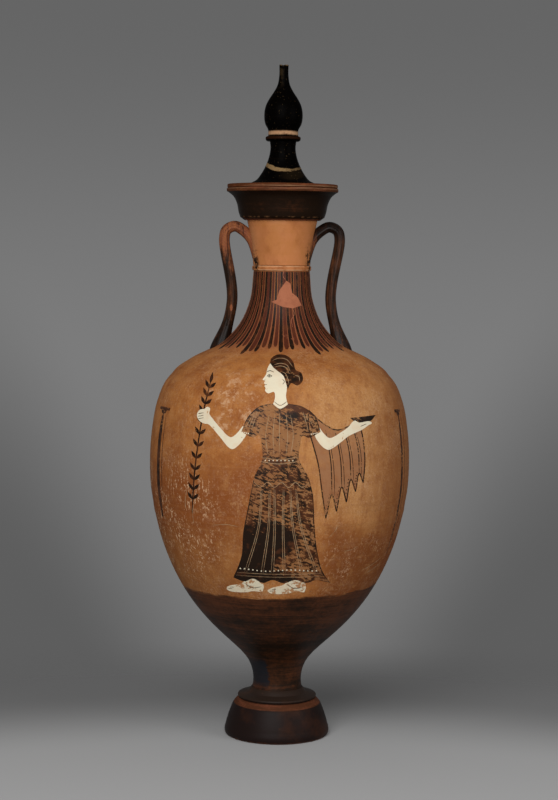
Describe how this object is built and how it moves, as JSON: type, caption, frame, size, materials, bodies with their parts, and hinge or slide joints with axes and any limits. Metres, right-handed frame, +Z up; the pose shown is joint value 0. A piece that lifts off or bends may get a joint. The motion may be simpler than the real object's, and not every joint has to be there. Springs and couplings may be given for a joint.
{
  "type": "lidded amphora",
  "caption": "Tall painted clay storage jar with a narrow foot, wide body, flared mouth, looped handles and a tall-knobbed lid that lifts off.",
  "frame": {"origin": "middle of the flat ring that the foot stands on", "axes": "+Z up along the axis of the jar, +X through the right handle as the painted front is seen, -Y towards the viewer"},
  "size_m": [0.3872, 0.3872, 0.997],
  "materials": {
    "clay": "matt fired clay",
    "slip": "satin dark slip"
  },
  "bodies": {
    "jar": {"foot": "slip", "foot_fillet": "slip", "lower_body": "slip", "upper_body": "clay", "shoulder": "clay", "neck_ring": "clay", "neck": "clay", "mouth": "slip", "handle_left": "slip", "handle_right": "slip"},
    "lid": {"lid_plate": "slip", "lid_flange": "clay", "lid_stem": "slip", "lid_collar": "slip", "lid_knob": "slip"}
  },
  "joints": [
    {"name": "lid_lift", "type": "slide", "parent": "jar", "child": "lid", "axis": [0, 0, 1], "range_m": [0, 0.16]}
  ]
}
